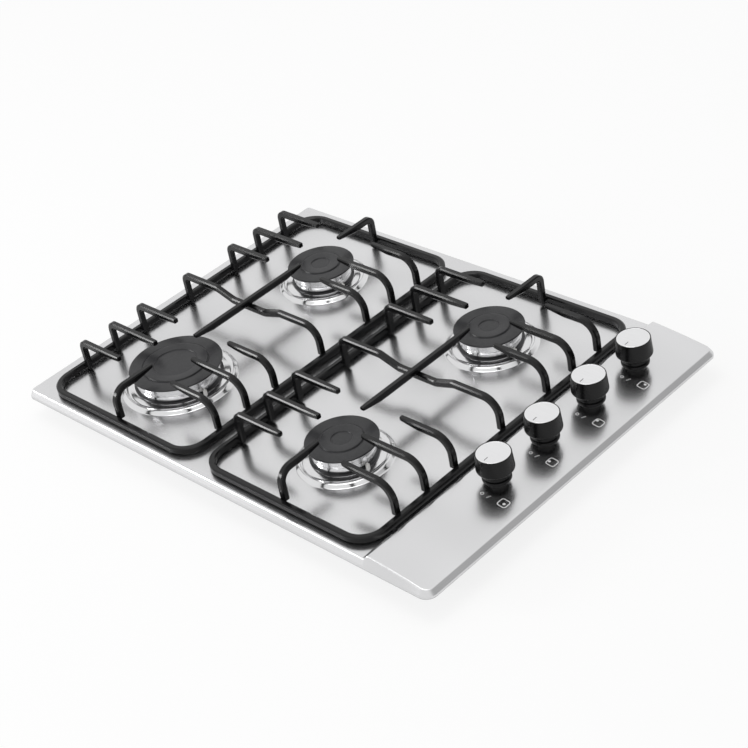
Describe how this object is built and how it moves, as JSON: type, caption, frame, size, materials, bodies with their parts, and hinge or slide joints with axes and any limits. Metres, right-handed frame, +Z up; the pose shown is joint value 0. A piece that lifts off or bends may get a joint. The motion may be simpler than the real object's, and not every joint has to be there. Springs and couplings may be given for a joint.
{
  "type": "built-in gas cooktop",
  "caption": "Built-in gas cooktop: pressed steel plate with ringed burners under black lift-off pan supports, a raised panel of push-and-turn knobs, and a tray below with gas and spark parts",
  "frame": {"origin": "centre of the plate's footprint, on the surface that the bottom tray stands on", "axes": "+X towards the knobs, +Y towards the back edge, +Z up"},
  "size_m": [0.595, 0.44, 0.0762],
  "materials": {
    "plate_steel": "satin stainless steel sheet",
    "tray_steel": "galvanised steel sheet",
    "foam": "closed-cell foam strip",
    "black_enamel": "gloss black enamel on steel bar",
    "pad_rubber": "moulded rubber",
    "cap_enamel": "satin grey-black enamel on steel",
    "crown_aluminium": "turned aluminium",
    "cup_metal": "dark heat-resistant coating on die-cast alloy",
    "electrode_ceramic": "white glazed ceramic",
    "brass": "machined brass",
    "knob_plastic": "satin black plastic",
    "disc_metal": "brushed aluminium with a bright cut edge",
    "cast_aluminium": "die-cast aluminium",
    "tube_aluminium": "drawn aluminium tube",
    "pale_plastic": "moulded pale plastic",
    "black_plastic": "moulded black plastic",
    "collar_rubber": "moulded rubber"
  },
  "bodies": {
    "base": {"top_plate": "plate_steel", "bottom_tray": "tray_steel", "rim_gasket": "foam", "burner_cup_fl": "cup_metal", "burner_cup_rl": "cup_metal", "burner_cup_fr": "cup_metal", "burner_cup_rr": "cup_metal", "spark_electrode_fl": "electrode_ceramic", "spark_electrode_rl": "electrode_ceramic", "spark_electrode_fr": "electrode_ceramic", "spark_electrode_rr": "electrode_ceramic", "injectors": "brass", "valve_body_1": "cast_aluminium", "valve_body_2": "cast_aluminium", "valve_body_3": "cast_aluminium", "valve_body_4": "cast_aluminium", "gas_tube_1": "tube_aluminium", "gas_tube_2": "tube_aluminium", "gas_tube_3": "tube_aluminium", "gas_tube_4": "tube_aluminium", "gas_rail": "cast_aluminium", "gas_inlet": "brass", "ignition_unit": "pale_plastic", "cable_gland": "black_plastic", "knob_collars": "collar_rubber"},
    "support_left": {"support_frame_left": "black_enamel", "support_fingers_left": "black_enamel", "support_spine_left": "black_enamel", "support_pads_left": "pad_rubber"},
    "support_right": {"support_frame_right": "black_enamel", "support_fingers_right": "black_enamel", "support_spine_right": "black_enamel", "support_pads_right": "pad_rubber"},
    "crown_fl": {"burner_crown_fl": "crown_aluminium"},
    "cap_fl": {"burner_cap_fl": "cap_enamel"},
    "crown_rl": {"burner_crown_rl": "crown_aluminium"},
    "cap_rl": {"burner_cap_rl": "cap_enamel"},
    "crown_fr": {"burner_crown_fr": "crown_aluminium"},
    "cap_fr": {"burner_cap_fr": "cap_enamel"},
    "crown_rr": {"burner_crown_rr": "crown_aluminium"},
    "cap_rr": {"burner_cap_rr": "cap_enamel"},
    "valve_turn_1": {"valve_plug_1": "brass"},
    "knob_push_1": {"valve_spindle_1": "brass", "knob_1": "knob_plastic", "knob_disc_1": "disc_metal"},
    "valve_turn_2": {"valve_plug_2": "brass"},
    "knob_push_2": {"valve_spindle_2": "brass", "knob_2": "knob_plastic", "knob_disc_2": "disc_metal"},
    "valve_turn_3": {"valve_plug_3": "brass"},
    "knob_push_3": {"valve_spindle_3": "brass", "knob_3": "knob_plastic", "knob_disc_3": "disc_metal"},
    "valve_turn_4": {"valve_plug_4": "brass"},
    "knob_push_4": {"valve_spindle_4": "brass", "knob_4": "knob_plastic", "knob_disc_4": "disc_metal"}
  },
  "joints": [
    {"name": "lift_support_left", "type": "slide", "parent": "base", "child": "support_left", "axis": [0, 0, 1], "range_m": [0, 0.15]},
    {"name": "lift_support_right", "type": "slide", "parent": "base", "child": "support_right", "axis": [0, 0, 1], "range_m": [0, 0.15]},
    {"name": "lift_crown_fl", "type": "slide", "parent": "base", "child": "crown_fl", "axis": [0, 0, 1], "range_m": [0, 0.0045]},
    {"name": "lift_cap_fl", "type": "slide", "parent": "crown_fl", "child": "cap_fl", "axis": [0, 0, 1], "range_m": [0, 0.005]},
    {"name": "lift_crown_rl", "type": "slide", "parent": "base", "child": "crown_rl", "axis": [0, 0, 1], "range_m": [0, 0.0045]},
    {"name": "lift_cap_rl", "type": "slide", "parent": "crown_rl", "child": "cap_rl", "axis": [0, 0, 1], "range_m": [0, 0.005]},
    {"name": "lift_crown_fr", "type": "slide", "parent": "base", "child": "crown_fr", "axis": [0, 0, 1], "range_m": [0, 0.0045]},
    {"name": "lift_cap_fr", "type": "slide", "parent": "crown_fr", "child": "cap_fr", "axis": [0, 0, 1], "range_m": [0, 0.005]},
    {"name": "lift_crown_rr", "type": "slide", "parent": "base", "child": "crown_rr", "axis": [0, 0, 1], "range_m": [0, 0.0045]},
    {"name": "lift_cap_rr", "type": "slide", "parent": "crown_rr", "child": "cap_rr", "axis": [0, 0, 1], "range_m": [0, 0.005]},
    {"name": "turn_knob_1", "type": "hinge", "parent": "base", "child": "valve_turn_1", "pos_m": [0.2515, 0.1456, 0.03], "axis": [0, 0, 1], "range_deg": [0, 210]},
    {"name": "push_knob_1", "type": "slide", "parent": "valve_turn_1", "child": "knob_push_1", "axis": [0, 0, -1], "range_m": [0, 0.0032], "stiffness_N_per_m": 800, "springref_m": -0.003},
    {"name": "turn_knob_2", "type": "hinge", "parent": "base", "child": "valve_turn_2", "pos_m": [0.2515, 0.0742, 0.03], "axis": [0, 0, 1], "range_deg": [0, 210]},
    {"name": "push_knob_2", "type": "slide", "parent": "valve_turn_2", "child": "knob_push_2", "axis": [0, 0, -1], "range_m": [0, 0.0032], "stiffness_N_per_m": 800, "springref_m": -0.003},
    {"name": "turn_knob_3", "type": "hinge", "parent": "base", "child": "valve_turn_3", "pos_m": [0.2515, 0.0028, 0.03], "axis": [0, 0, 1], "range_deg": [0, 210]},
    {"name": "push_knob_3", "type": "slide", "parent": "valve_turn_3", "child": "knob_push_3", "axis": [0, 0, -1], "range_m": [0, 0.0032], "stiffness_N_per_m": 800, "springref_m": -0.003},
    {"name": "turn_knob_4", "type": "hinge", "parent": "base", "child": "valve_turn_4", "pos_m": [0.2515, -0.0686, 0.03], "axis": [0, 0, 1], "range_deg": [0, 210]},
    {"name": "push_knob_4", "type": "slide", "parent": "valve_turn_4", "child": "knob_push_4", "axis": [0, 0, -1], "range_m": [0, 0.0032], "stiffness_N_per_m": 800, "springref_m": -0.003}
  ]
}
